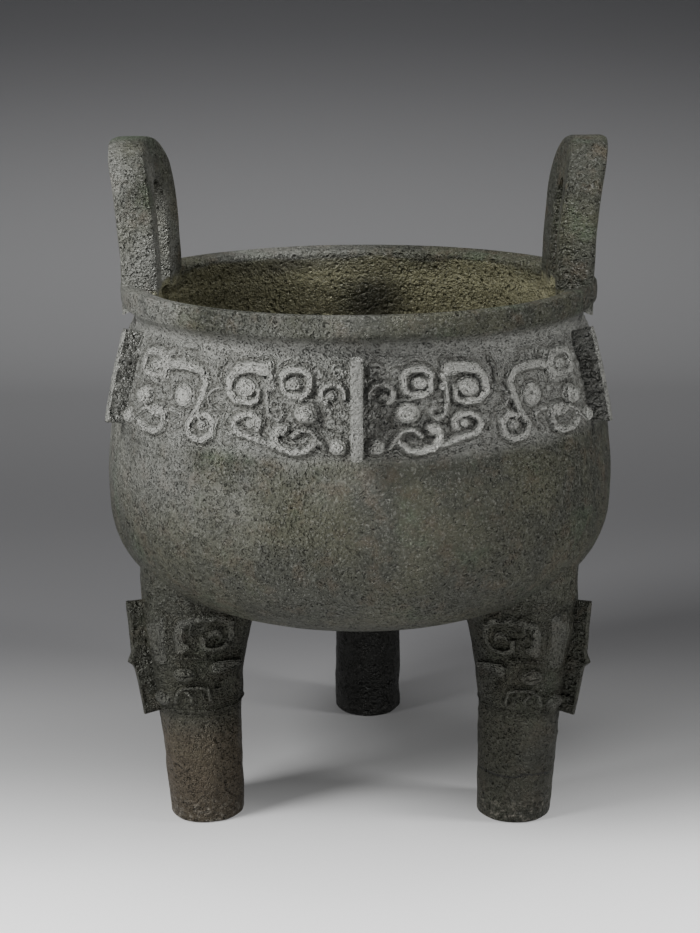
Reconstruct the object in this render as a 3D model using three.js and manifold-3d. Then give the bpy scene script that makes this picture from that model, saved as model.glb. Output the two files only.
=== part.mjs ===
// A large round bronze ding: a deep round-bellied cauldron on three column legs, with two upright
// handles on its rim, a frieze of six animal masks split by flanges, and a mask on each leg.
// It is one casting, so it is one solid. Millimetres, +Z up, standing on the origin's plane.
// Azimuths are degrees from +X towards +Y; the front flange looks along -Y.

import * as THREE from 'three';
import { mergeVertices } from 'three/addons/utils/BufferGeometryUtils.js';
import Module from 'manifold-3d';

const wasm = await Module();
wasm.setup();

// ---------------------------------------------------------------- driving dimensions
const BELLY_RADIUS = 324;        // widest outside radius
const BELLY_WIDEST = 425;        // height of the widest place
const BELLY_BOTTOM = 247;        // underside of the belly, on the axis
const BELLY_FULLNESS = 3.1;      // how square the lower belly is: 2 is an ellipse
const NECK_RADIUS = 284.6;       // outside radius under the rim
const NECK_HEIGHT = 630;
const SHOULDER_POWER = 1.68;     // how the wall leans in from the belly to the neck
const WALL = 9;                  // true wall thickness

const RIM_RADIUS = 300;
const RIM_TOP = 678;
const RIM_BAND = 28;             // height of the rim's outer band
const RIM_WIDTH = 32;            // how far the rim's top reaches inwards
const RIM_FALL = 5;              // the rim's top slopes down to the inside by this much
const RIM_EDGE = 3;              // rounding of the band's corners

const FRIEZE_BOTTOM = 523;
const FRIEZE_TOP = 625;
const RELIEF = 4.5;              // height of the carved bands over the wall
const ROOT = 3;                  // how deep the carving is let into the wall

const FLANGE_THICKNESS = 14;
const FLANGE_DEPTH = 23.5;        // from the wall to the flange's outer edge
const FLANGE_TOP = 626;
const FLANGE_BOTTOM = 516;
const FRONT_FLANGE = 269.25;
const SIDE_FLANGE_TURN = 66;     // degrees from the front flange to those over the front legs
const LEG_MASK_SPAN = 188.5;     // half a mask over a leg, along the band at BAND_RADIUS
const GAP_MASK_SPAN = 158;       // half a mask between two legs
const BAND_RADIUS = 300;         // radius at which the frieze's lengths are stated

const HANDLE_TOP = 851;
const HANDLE_FOOT = 640;         // where the handle ends, inside the rim
const HANDLE_HALF_WIDTH = 95;
const HANDLE_THICKNESS = 46.5;
const HANDLE_INSIDE = 246;       // axis to the handle's inner face, at the rim
const HANDLE_LEAN = 16.5;        // how far the top leans out over the foot
const HANDLE_BOW = 700;          // radius of the handle's curve in plan
const HANDLE_SHOULDER = 76;      // height of the rounded top part
const HANDLE_SQUARENESS = 2.5;   // 2 is an elliptic arch, more is squarer
const HANDLE_EDGE = 3;
const SLOT_HALF_WIDTH = 31;
const SLOT_TOP = 797;
const SLOT_BOTTOM = 672;         // a little under the rim's top, so that the rim closes the slot
const CORBEL = 24;               // the foot's underside rises by this much to the inner face
const HANDLES = [
  { azimuth: 175.8 },
  { azimuth: 359.5 },
];

const LEG_OUTSIDE = 278;         // axis of the vessel to a leg's outer side, at the floor
const LEG_SPLAY = 0.081;         // how much that grows with height
const LEG_INSIDE = 184;          // axis of the vessel to a leg's inner side
const LEG_HALF_WIDTH = 47;
const LEG_FLARE_FROM = 130;      // over this height the legs widen into the belly
const LEG_FLARE_RISE = 140;
const LEG_FLARE = 20;            // gained on the inner side over LEG_FLARE_RISE
const LEG_SHOULDER = 9;          // gained on the outer side over LEG_FLARE_RISE
const LEG_WIDENING = 10;         // gained on each flank over LEG_FLARE_RISE
const FOOT_EDGE = 2.5;           // rounding of the foot's lower edge
const LEG_ROOT = 307;            // axis of the vessel to the outer side where the leg meets the belly
const LEG_HEIGHT = 345;          // the legs end inside the belly's wall
const LEG_MASK_BOTTOM = 150;
const LEG_RELIEF = 4;
const LEG_FLANGE_THICKNESS = 12;
const LEGS = [
  { azimuth: 210, facing: 198 },
  { azimuth: 328.3, facing: 337 },
  { azimuth: 87, facing: 87, behind: true },
];

const BODY_SIDES = 36;
const LEG_SIDES = 12;
const BRONZE = new THREE.MeshStandardMaterial({ color: 0x4a4d3f, roughness: 0.62, metalness: 0.75 });

const radians = THREE.MathUtils.degToRad;

// ---------------------------------------------------------------- solids
// A closed triangle mesh as a manifold solid: corners in the same place become one.
function solid(geometry) {
  geometry.deleteAttribute('normal');
  geometry.deleteAttribute('uv');
  const merged = mergeVertices(geometry, 1e-3);
  const corners = merged.index.array;
  const triangles = [];
  for (let i = 0; i < corners.length; i += 3) {
    const [a, b, c] = corners.slice(i, i + 3);
    if (a !== b && b !== c && c !== a) triangles.push(a, b, c);
  }
  return new wasm.Manifold(new wasm.Mesh({
    numProp: 3,
    vertProperties: new Float32Array(merged.attributes.position.array),
    triVerts: new Uint32Array(triangles),
  }));
}

function union(parts) {
  return parts.reduce((whole, part) => whole.add(part));
}

// A solid from rings of corners: each ring is joined to the next, and both ends are closed.
function skin(rings) {
  const sides = rings[0].length;
  const index = [];
  for (let r = 0; r + 1 < rings.length; r++) {
    for (let k = 0; k < sides; k++) {
      const a = r * sides + k;
      const b = r * sides + (k + 1) % sides;
      index.push(a, b, b + sides, a, b + sides, a + sides);
    }
  }
  const last = (rings.length - 1) * sides;
  for (let k = 1; k + 1 < sides; k++) {
    index.push(0, k + 1, k);
    index.push(last, last + k, last + k + 1);
  }
  const geometry = new THREE.BufferGeometry();
  const places = rings.flat().flatMap((p) => [p.x, p.y, p.z]);
  geometry.setAttribute('position', new THREE.Float32BufferAttribute(places, 3));
  geometry.setIndex(index);
  const shape = solid(geometry);
  if (shape.volume() > 0) return shape;
  geometry.setIndex(index.reverse());              // a mirrored motif comes out inside out
  return solid(geometry);
}

// ---------------------------------------------------------------- vessel
function bellyRadius(z) {
  if (z < BELLY_WIDEST) {
    const depth = (BELLY_WIDEST - z) / (BELLY_WIDEST - BELLY_BOTTOM);
    return BELLY_RADIUS * Math.sqrt(Math.max(0, 1 - depth ** BELLY_FULLNESS));
  }
  const rise = (z - BELLY_WIDEST) / (NECK_HEIGHT - BELLY_WIDEST);
  return BELLY_RADIUS - (BELLY_RADIUS - NECK_RADIUS) * rise ** SHOULDER_POWER;
}

// Heights of the belly's rings, closer together where the bottom turns in.
function bellyHeights(bottom, steps) {
  const heights = [];
  for (let i = 1; i <= steps; i++) {
    const turn = (i / steps) ** 0.8 * Math.PI / 2;
    heights.push(BELLY_WIDEST - (BELLY_WIDEST - bottom) * Math.cos(turn) ** 0.62);
  }
  return heights;
}

function outerProfile() {
  const lower = bellyHeights(BELLY_BOTTOM, 9);
  const upper = [475, FRIEZE_BOTTOM, FRIEZE_TOP];
  const points = [new THREE.Vector2(0, BELLY_BOTTOM)];
  for (const z of [...lower, ...upper]) points.push(new THREE.Vector2(bellyRadius(z), z));
  return points;
}

function rimProfile() {
  const bottom = RIM_TOP - RIM_BAND;
  return [
    [NECK_RADIUS, NECK_HEIGHT + 5],
    [NECK_RADIUS + 4, bottom - 5],
    [RIM_RADIUS - RIM_EDGE, bottom],
    [RIM_RADIUS, bottom + RIM_EDGE],
    [RIM_RADIUS, RIM_TOP - RIM_EDGE],
    [RIM_RADIUS - RIM_EDGE, RIM_TOP],
    [RIM_RADIUS - RIM_WIDTH + 2, RIM_TOP - RIM_FALL],
  ].map(([r, z]) => new THREE.Vector2(r, z));
}

// The empty space inside: the belly's curve drawn in by the wall, open past the rim.
function hollowProfile() {
  const floor = BELLY_BOTTOM + WALL;
  const squeeze = (BELLY_WIDEST - BELLY_BOTTOM) / (BELLY_WIDEST - floor);
  const points = [new THREE.Vector2(0, floor)];
  for (const z of bellyHeights(floor, 7)) {
    const outside = bellyRadius(BELLY_WIDEST - (BELLY_WIDEST - z) * squeeze);
    points.push(new THREE.Vector2(outside * (BELLY_RADIUS - WALL) / BELLY_RADIUS, z));
  }
  for (const z of [500, 580, 630]) points.push(new THREE.Vector2(bellyRadius(z) - WALL, z));
  const mouth = RIM_RADIUS - RIM_WIDTH;
  points.push(new THREE.Vector2(mouth, RIM_TOP - RIM_FALL - 10));
  points.push(new THREE.Vector2(mouth, RIM_TOP + 20));
  points.push(new THREE.Vector2(0, RIM_TOP + 20));
  return points;
}

function turned(profile) {
  return solid(new THREE.LatheGeometry(profile, BODY_SIDES).rotateX(Math.PI / 2));
}

// ---------------------------------------------------------------- handles
function handleShape() {
  const spring = HANDLE_TOP - HANDLE_SHOULDER;
  const shape = new THREE.Shape();
  shape.moveTo(-HANDLE_HALF_WIDTH, HANDLE_FOOT);
  shape.lineTo(HANDLE_HALF_WIDTH, HANDLE_FOOT);
  const steps = 12;
  for (let i = 0; i <= steps; i++) {
    const turn = Math.PI * i / steps;
    const across = Math.sign(Math.cos(turn)) * Math.abs(Math.cos(turn)) ** (2 / HANDLE_SQUARENESS);
    const up = Math.sin(turn) ** (2 / HANDLE_SQUARENESS);
    shape.lineTo(HANDLE_HALF_WIDTH * across, spring + HANDLE_SHOULDER * up);
  }
  const slot = new THREE.Path();
  slot.moveTo(-SLOT_HALF_WIDTH, SLOT_BOTTOM);
  slot.lineTo(-SLOT_HALF_WIDTH, SLOT_TOP - SLOT_HALF_WIDTH);
  slot.absarc(0, SLOT_TOP - SLOT_HALF_WIDTH, SLOT_HALF_WIDTH, Math.PI, 0, true);
  slot.lineTo(SLOT_HALF_WIDTH, SLOT_BOTTOM);
  shape.holes.push(slot);
  return shape;
}

// The upright plate, bowed a little in plan and leaning out towards its top.
function handle({ azimuth }) {
  const plate = new THREE.ExtrudeGeometry(handleShape(), {
    depth: HANDLE_THICKNESS - 2 * HANDLE_EDGE,
    curveSegments: 7,
    bevelThickness: HANDLE_EDGE,
    bevelSize: HANDLE_EDGE,
    bevelOffset: -HANDLE_EDGE,
    bevelSegments: 1,
  }).translate(0, 0, HANDLE_EDGE);
  const place = plate.attributes.position;
  for (let i = 0; i < place.count; i++) {
    const across = place.getX(i);
    const height = place.getY(i);
    const depth = place.getZ(i);
    const rise = Math.max(0, height - RIM_TOP) / (HANDLE_TOP - RIM_TOP);
    const out = HANDLE_INSIDE + depth + HANDLE_LEAN * rise ** 2 - across ** 2 / (2 * HANDLE_BOW);
    const corbel = height < RIM_TOP - RIM_BAND ? CORBEL * (1 - depth / HANDLE_THICKNESS) : 0;
    place.setXYZ(i, out, across, height + corbel);
  }
  return solid(plate.rotateZ(radians(azimuth)));
}

// ---------------------------------------------------------------- flanges
// A plate standing in the upright plane of an azimuth, from its outline of radii and heights.
function finPlate(outline, thickness, azimuth) {
  const shape = new THREE.Shape(outline.map(([r, z]) => new THREE.Vector2(r, z)));
  const plate = new THREE.ExtrudeGeometry(shape, { depth: thickness, bevelEnabled: false });
  plate.translate(0, 0, -thickness / 2).rotateX(Math.PI / 2).rotateZ(radians(azimuth));
  return solid(plate);
}

function bandFlange(azimuth) {
  const heights = [FLANGE_BOTTOM, (FLANGE_BOTTOM + FLANGE_TOP) / 2, FLANGE_TOP];
  const inner = heights.map((z) => [bellyRadius(z) - ROOT, z]);
  const outer = heights.map((z) => {
    const slope = (bellyRadius(z - 1) - bellyRadius(z + 1)) / 2;
    return [bellyRadius(z) + FLANGE_DEPTH, z + FLANGE_DEPTH * slope];
  });
  return finPlate([...inner, ...outer.reverse()], FLANGE_THICKNESS, azimuth);
}

// ---------------------------------------------------------------- carving
// Carving is laid out flat: s runs along the band away from the flange, z is the height.
// A surface turns (s, z, height over it) into a place on the vessel or on a leg.

// A raised band of even width along a path of [s, z] points: flat-topped, or a ridge.
function band(surface, path, width, height, flat = true) {
  const rings = path.map(([s, z], i) => {
    const [s0, z0] = path[Math.max(0, i - 1)];
    const [s1, z1] = path[Math.min(path.length - 1, i + 1)];
    const length = Math.hypot(s1 - s0, z1 - z0);
    const acrossS = -(z1 - z0) / length * width / 2;
    const acrossZ = (s1 - s0) / length * width / 2;
    const edge = (share, up) => surface(s + share * acrossS, z + share * acrossZ, up);
    const top = flat ? [edge(0.7, height), edge(-0.7, height)] : [edge(0, height)];
    return [edge(-1, -ROOT), edge(1, -ROOT), ...top];
  });
  return skin(rings);
}

function ridge(surface, path, width, height) {
  return band(surface, path, width, height, false);
}

// A flat-topped boss over an oval.
function boss(surface, [s, z], [halfS, halfZ], height, sides = 6) {
  const ring = (share, up) => Array.from({ length: sides }, (_, k) => {
    const turn = 2 * Math.PI * (k + 0.5) / sides;
    return surface(s + halfS * share * Math.cos(turn), z + halfZ * share * Math.sin(turn), up);
  });
  return skin([ring(1.05, -ROOT), ring(0.6, height)]);
}

// Points of a C or spiral: the radii shrink evenly to `end` times their first size.
function curl([s, z], [reachS, reachZ], from, to, steps, end = 1) {
  return Array.from({ length: steps + 1 }, (_, i) => {
    const share = i / steps;
    const turn = radians(from + (to - from) * share);
    const size = 1 + (end - 1) * share;
    return [s + reachS * size * Math.cos(turn), z + reachZ * size * Math.sin(turn)];
  });
}

// Half of a mask between two legs. The plain one, for the back, has only its main forms.
function gapMaskHalf(surface, plain) {
  const innerHorn = band(surface, curl([70, 599], [17, 15], 35, 315, 4), 10, RELIEF, !plain);
  const outerHorn = band(surface, curl([131, 592], [22, 22], 135, -170, 5, 0.75), 11, RELIEF, !plain);
  const eye = boss(surface, [56, 567], [14, 11.5], RELIEF * 2.6);
  const mouthRoll = ridge(surface, [[81, 550], [90, 538], [72, 525], [52, 529]], 10, RELIEF);
  const nostril = boss(surface, [20, 531], [10, 9.5], RELIEF * 1.7);
  const main = [innerHorn, outerHorn, eye, mouthRoll, nostril];
  if (plain) return main;
  const plume = boss(surface, [21, 612], [8, 8], RELIEF, 4);
  const ear = ridge(surface, curl([27, 588], [14, 12], 60, 260, 3), 9, RELIEF);
  const bodyStrip = ridge(surface, [[104, 619], [102, 570], [90, 559], [86, 570]], 9, RELIEF * 0.7);
  const claw = ridge(surface, [[114, 549], [124, 561], [141, 550], [122, 537], [95, 530]], 8, RELIEF);
  const spur = ridge(surface, [[134, 540], [157, 544]], 5, RELIEF * 0.7);
  const lip = ridge(surface, [[70, 544], [54, 548], [36, 530]], 6, RELIEF);
  const hornEyes = [[72, 598], [131, 591]].map((at) => boss(surface, at, [8, 8], RELIEF, 4));
  return [...main, plume, ear, bodyStrip, claw, spur, lip, ...hornEyes];
}

// Half of a mask over a leg: wider, with an arched body behind the horn.
function legMaskHalf(surface, plain) {
  const horn = band(surface, curl([62, 601], [24, 13], 40, 310, 4), 12, RELIEF, !plain);
  const arch = band(surface, [[84, 588], [96, 605], [150, 603], [159, 588], [137, 534], [162, 527],
    [176, 546]], 10, RELIEF, !plain);
  const eye = boss(surface, [56, 562], [15, 11.5], RELIEF * 2.6);
  const mouthRoll = ridge(surface, [[87, 551], [100, 540], [82, 525], [58, 529]], 10, RELIEF);
  const nostril = boss(surface, [21, 531], [10, 9.5], RELIEF * 1.7);
  const main = [horn, arch, eye, mouthRoll, nostril];
  if (plain) return main;
  const underArch = boss(surface, [127, 572], [14, 14], RELIEF);
  const curlEye = boss(surface, [159, 543], [7, 7], RELIEF, 4);
  const hook = ridge(surface, [[109, 553], [127, 550], [116, 532]], 7, RELIEF * 0.7);
  const quill = ridge(surface, [[178, 588], [164, 575], [181, 566]], 6, RELIEF * 0.7);
  const lip = ridge(surface, [[78, 545], [60, 549], [39, 530]], 6, RELIEF);
  return [...main, underArch, curlEye, hook, quill, lip];
}

// The wall along the frieze, measured from a flange towards one side. A stretch over 1 draws
// the motif out, where the flanges stand further apart than the motif was laid out for.
function bandSurface(flange, side, stretch) {
  return (s, z, up) => {
    const turn = radians(flange) + side * s * stretch / BAND_RADIUS;
    const r = bellyRadius(z) + up;
    return new THREE.Vector3(r * Math.cos(turn), r * Math.sin(turn), z);
  };
}

// Six sectors, each from a flange between two legs to the next flange over a leg.
function frieze() {
  const parts = [];
  const rearGap = (SIDE_FLANGE_TURN + 180) / 2;
  const sectors = [[0, SIDE_FLANGE_TURN], [rearGap, SIDE_FLANGE_TURN], [rearGap, 180]];
  for (const mirror of [-1, 1]) {
    for (const [gap, leg] of sectors) {
      const gapFlange = FRONT_FLANGE + mirror * gap;
      const legFlange = FRONT_FLANGE + mirror * leg;
      const side = Math.sign(legFlange - gapFlange);
      const length = radians(Math.abs(legFlange - gapFlange)) * BAND_RADIUS;
      const stretch = length / (GAP_MASK_SPAN + LEG_MASK_SPAN);
      const plain = gap !== 0;
      parts.push(...gapMaskHalf(bandSurface(gapFlange, side, stretch), plain));
      parts.push(...legMaskHalf(bandSurface(legFlange, -side, stretch), plain));
    }
    parts.push(bandFlange(FRONT_FLANGE + mirror * SIDE_FLANGE_TURN));
    parts.push(bandFlange(FRONT_FLANGE + mirror * rearGap));
  }
  parts.push(bandFlange(FRONT_FLANGE), bandFlange(FRONT_FLANGE + 180));
  return parts;
}

// ---------------------------------------------------------------- legs
// A leg's section at a height: an oval about a centre that moves a little with the height.
function legSection(z) {
  const flare = (Math.max(0, z - LEG_FLARE_FROM) / LEG_FLARE_RISE) ** 2;
  const outside = Math.min(LEG_OUTSIDE + LEG_SPLAY * z + LEG_SHOULDER * flare, LEG_ROOT);
  const inside = LEG_INSIDE - LEG_FLARE * flare;
  return {
    centre: (outside + inside) / 2,
    radial: (outside - inside) / 2,
    flank: LEG_HALF_WIDTH + LEG_WIDENING * flare,
  };
}

// The leg's skin, measured from the middle of its mask towards one side.
function legSurface({ azimuth, facing }, side = 1) {
  return (s, z, up) => {
    const { centre, radial, flank } = legSection(z);
    const turn = radians(facing) + side * s / LEG_HALF_WIDTH;
    const fromAxis = turn - radians(azimuth);
    const reach = 1 / Math.hypot(Math.cos(fromAxis) / radial, Math.sin(fromAxis) / flank) + up;
    return new THREE.Vector3(
      centre * Math.cos(radians(azimuth)) + reach * Math.cos(turn),
      centre * Math.sin(radians(azimuth)) + reach * Math.sin(turn),
      z,
    );
  };
}

function legColumn(leg) {
  const surface = legSurface(leg);
  const levels = [[0, -FOOT_EDGE], [FOOT_EDGE, 0], [LEG_FLARE_FROM, 0], [180, 0], [225, 0], [275, 0],
    [LEG_HEIGHT, 0]];
  const girth = 2 * Math.PI * LEG_HALF_WIDTH;
  return skin(levels.map(([z, up]) => Array.from(
    { length: LEG_SIDES },
    (_, k) => surface(girth * k / LEG_SIDES, z, up),
  )));
}

// The leg's flange has a small hook half way down and is narrower below it. Its outline is
// measured from the leg's axis.
function legFlange({ azimuth, facing }) {
  const outline = [[44, 147], [73, 143], [77, 165], [84, 207], [92, 215], [87, 226], [91, 294], [44, 294]];
  const plate = finPlate(outline, LEG_FLANGE_THICKNESS, facing);
  const { centre } = legSection(LEG_MASK_BOTTOM);
  const [x, y] = [centre * Math.cos(radians(azimuth)), centre * Math.sin(radians(azimuth))];
  return plate.translate([x, y, 0]);
}

function legCarvingHalf(surface, plain) {
  const forehead = boss(surface, [23, 254], [10, 30], LEG_RELIEF * 0.7);
  const horn = band(surface, [[53, 244], [44, 244], [45, 277], [84, 279], [97, 258], [88, 237],
    [73, 241], [77, 255]], 9, LEG_RELIEF, !plain);
  const eye = boss(surface, [48, 207], [11, 11], LEG_RELIEF * 2.4);
  const nostril = boss(surface, [22, 170], [10, 11], LEG_RELIEF * 1.6);
  const main = [forehead, horn, eye, nostril];
  if (plain) return main;
  const brow = ridge(surface, [[37, 228], [71, 229]], 4, LEG_RELIEF * 0.6);
  const ear = boss(surface, [99, 210], [20, 12], LEG_RELIEF * 0.8, 4);
  const lip = ridge(surface, [[38, 170], [45, 186], [70, 187], [72, 170]], 6, LEG_RELIEF);
  const fang = boss(surface, [56, 175], [5, 7], LEG_RELIEF * 0.8, 4);
  return [...main, brow, ear, lip, fang];
}

// ---------------------------------------------------------------- the casting
function vessel() {
  const walls = [turned([...outerProfile(), ...rimProfile(), new THREE.Vector2(0, RIM_TOP - RIM_FALL)])];
  const carving = [...frieze()];
  for (const leg of LEGS) {
    walls.push(legColumn(leg), legFlange(leg));
    for (const side of [-1, 1]) carving.push(...legCarvingHalf(legSurface(leg, side), leg.behind));
  }
  const cauldron = union([...walls, ...carving]).subtract(turned(hollowProfile()));
  return union([cauldron, ...HANDLES.map(handle)]);
}

function mesh(name, shape, material) {
  const { vertProperties, triVerts } = shape.getMesh();
  const geometry = new THREE.BufferGeometry();
  geometry.setAttribute('position', new THREE.Float32BufferAttribute(vertProperties, 3));
  geometry.setIndex(new THREE.Uint32BufferAttribute(triVerts, 1));
  geometry.computeVertexNormals();
  const piece = new THREE.Mesh(geometry, material);
  piece.name = name;
  return piece;
}

const ding = new THREE.Group();
ding.add(mesh('ding_vessel', vessel(), BRONZE));

export default ding;
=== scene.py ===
"""A large round bronze ding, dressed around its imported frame: one casting, built up here in the
order a foundry would: cauldron wall with its frieze, flanges, handles, legs, then the cast is
joined and takes its patina. Lengths are millimetres until a mesh is made, azimuths are degrees
from +X towards +Y, and the front flange looks along -Y."""

import math

import bpy
import numpy as np
from mathutils import Matrix


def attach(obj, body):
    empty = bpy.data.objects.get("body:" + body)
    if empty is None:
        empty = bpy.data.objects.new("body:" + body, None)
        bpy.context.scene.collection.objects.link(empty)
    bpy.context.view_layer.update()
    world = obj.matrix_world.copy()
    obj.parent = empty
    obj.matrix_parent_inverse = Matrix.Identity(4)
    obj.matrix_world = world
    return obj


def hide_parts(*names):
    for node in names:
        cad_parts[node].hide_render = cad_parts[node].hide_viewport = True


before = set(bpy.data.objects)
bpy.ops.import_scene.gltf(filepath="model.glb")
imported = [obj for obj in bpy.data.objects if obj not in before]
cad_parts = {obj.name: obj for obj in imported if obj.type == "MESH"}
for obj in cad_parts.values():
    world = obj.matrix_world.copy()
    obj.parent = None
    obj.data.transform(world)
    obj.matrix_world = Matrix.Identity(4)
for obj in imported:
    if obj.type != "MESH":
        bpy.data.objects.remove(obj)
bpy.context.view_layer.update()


# -------- the cauldron's wall
# The bowl of the ding: tin bronze cast in a clay piece mould, about a hand deep under the neck,
# with a round belly, a flat underside and a neck that leans in to the rim.
BELLY_RADIUS = 324.0
BELLY_WIDEST = 425.0  # height of the widest place
BELLY_BOTTOM = 247.0
BELLY_FULLNESS = 3.1  # 2 would make the lower belly an ellipse
NECK_RADIUS = 284.6
NECK_HEIGHT = 630.0
SHOULDER_POWER = 1.68
WALL = 9.0


def ease(x):
    """0 below 0, 1 above 1, and 3x^2 - 2x^3 between them."""
    x = np.clip(x, 0, 1)
    return x * x * (3 - 2 * x)


def belly_radius(z):
    """Outside radius: R sqrt(1 - d^p) below the widest height, with d the share of the way down
    to the bottom, and R minus the neck's draw-in times rise^q above it."""
    depth = np.clip((BELLY_WIDEST - z) / (BELLY_WIDEST - BELLY_BOTTOM), 0, 1)
    rise = np.clip((z - BELLY_WIDEST) / (NECK_HEIGHT - BELLY_WIDEST), 0, None)
    lower = BELLY_RADIUS * np.sqrt(1 - depth ** BELLY_FULLNESS)
    upper = BELLY_RADIUS - (BELLY_RADIUS - NECK_RADIUS) * rise ** SHOULDER_POWER
    return np.where(z < BELLY_WIDEST, lower, upper)


def waves(places, wavelength, height, seed, count=14):
    """Unevenness of a casting: the mean of plane waves in random directions, each of about the
    given wavelength, scaled to the given height."""
    draw = np.random.default_rng(seed)
    heading = draw.normal(size=(count, 3))
    heading /= np.linalg.norm(heading, axis=1)[:, None]
    rate = 2 * math.pi / (wavelength * draw.uniform(0.7, 1.5, count))
    phase = draw.uniform(0, 2 * math.pi, count)
    total = np.zeros(places.shape[:-1])
    for k in range(count):
        total += np.cos(places @ heading[k] * rate[k] + phase[k])
    return height * total / math.sqrt(count / 2)


# -------- the carving
# The masks and spirals, cut in the mould and cast with the wall: broad flat-topped bands,
# domed eyes and noses, with fine lines ground in between. Each half mask is laid out flat:
# s runs away from its flange, z is the height.
EDGE = 2.0  # width of a band's sloping side
BAND_RISE = 5.0
MAIN_RISE = 4.0  # a band that rises this much or more is a main band
FULLNESS = 1.22  # how much broader than its first drawing each main band is cut


def swirl(at, reach, start, sweep, end=1.0, square=2.0, points=15):
    """A C or a spiral about a place: the angle runs from start by sweep degrees while the reach
    shrinks evenly to end times its size; square over 2 pushes its corners outwards."""
    share = np.linspace(0, 1, points)
    turn = np.radians(start + sweep * share)
    size = 1 + (end - 1) * share
    bulge = (np.abs(np.cos(turn)) ** square + np.abs(np.sin(turn)) ** square) ** (-1 / square)
    return np.stack([at[0] + reach[0] * size * bulge * np.cos(turn),
                     at[1] + reach[1] * size * bulge * np.sin(turn)], 1)


def inside_band(path, s, z, width, tail=None):
    """How far each place is inside a band's edge: half the width there less the distance to the
    nearest stretch of the path, the width running evenly from width to tail."""
    path = np.asarray(path, float)
    steps = np.diff(path, axis=0)
    travel = np.concatenate([[0], np.cumsum(np.hypot(*steps.T))])
    tail = width if tail is None else tail
    best = np.full(s.shape, -60.0)
    for k, (ds, dz) in enumerate(steps):
        from_s, from_z = s - path[k, 0], z - path[k, 1]
        along = np.clip((from_s * ds + from_z * dz) / (ds * ds + dz * dz), 0, 1)
        share = (travel[k] + along * (travel[k + 1] - travel[k])) / travel[-1]
        half = (width + (tail - width) * share) / 2
        best = np.maximum(best, half - np.hypot(from_s - along * ds, from_z - along * dz))
    return best


class Carving:
    """Height over the wall at many places, and how far each is from the nearest edge."""

    def __init__(self, s, z):
        self.s, self.z = s, z
        self.height = np.zeros(s.shape)
        self.edge = np.full(s.shape, 40.0)

    def band(self, path, width, tail=None, rise=BAND_RISE, side=EDGE):
        """A raised band with a flat top."""
        broad = FULLNESS if rise >= MAIN_RISE else 1.0
        tail = width if tail is None else tail
        inside = inside_band(path, self.s, self.z, width * broad, tail * broad)
        self.height = np.maximum(self.height, rise * ease(inside / side))
        self.edge = np.minimum(self.edge, -inside)

    def dome(self, at, reach, rise, fullness=2.4):
        """A boss: rise times (1 - r^fullness), with r the share of the way out to its edge."""
        r = np.hypot((self.s - at[0]) / reach[0], (self.z - at[1]) / reach[1])
        self.height = np.maximum(self.height, rise * np.clip(1 - r ** fullness, 0, 1) ** 0.7)
        self.edge = np.minimum(self.edge, (r - 1) * min(reach))

    def groove(self, path, width, depth, tail=None):
        """A cut line with sloping sides."""
        inside = inside_band(path, self.s, self.z, width, tail)
        self.height = self.height - depth * ease(inside / (width / 2))

    def hollow(self, at, reach, depth):
        """A round-bottomed recess."""
        r = np.hypot((self.s - at[0]) / reach[0], (self.z - at[1]) / reach[1])
        self.height = self.height - depth * ease((1 - r) / 0.55)


def eye(carving, at, reach, rise, slit):
    """A domed eye with a level slit for its pupil."""
    carving.dome(at, reach, rise)
    ends = [(at[0] - slit, at[1] - 1), (at[0] + slit, at[1] - 1)]
    carving.groove(ends, 3.6, 3.4, 2.4)


def nose(carving, at, reach, rise):
    """A nostril: a boss with a spiral line cut in it."""
    carving.dome(at, reach, rise)
    carving.groove(swirl(at, (reach[0] * 0.72, reach[1] * 0.72), 200, 470, 0.15), 2.2, 1.5)


# Small square spirals that fill the ground: places of their middles, reach, starting angle.
GAP_GROUND = [(16, 549), (31, 556), (17, 566), (32, 571), (45, 557), (12, 580), (46, 611),
              (107, 597), (96, 545), (75, 575), (150, 556), (148, 532), (42, 597)]
LEG_GROUND = [(16, 550), (32, 558), (17, 568), (33, 574), (12, 587), (24, 601), (38, 585),
              (140, 590), (100, 568), (140, 568), (92, 577), (30, 617), (176, 553)]


def ground_spirals(carving, places):
    for k, at in enumerate(places):
        carving.band(swirl(at, (5.6, 5.0), 90 * k, 540, 0.2, square=5, points=22), 2.0, rise=1.3, side=1.0)


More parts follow.
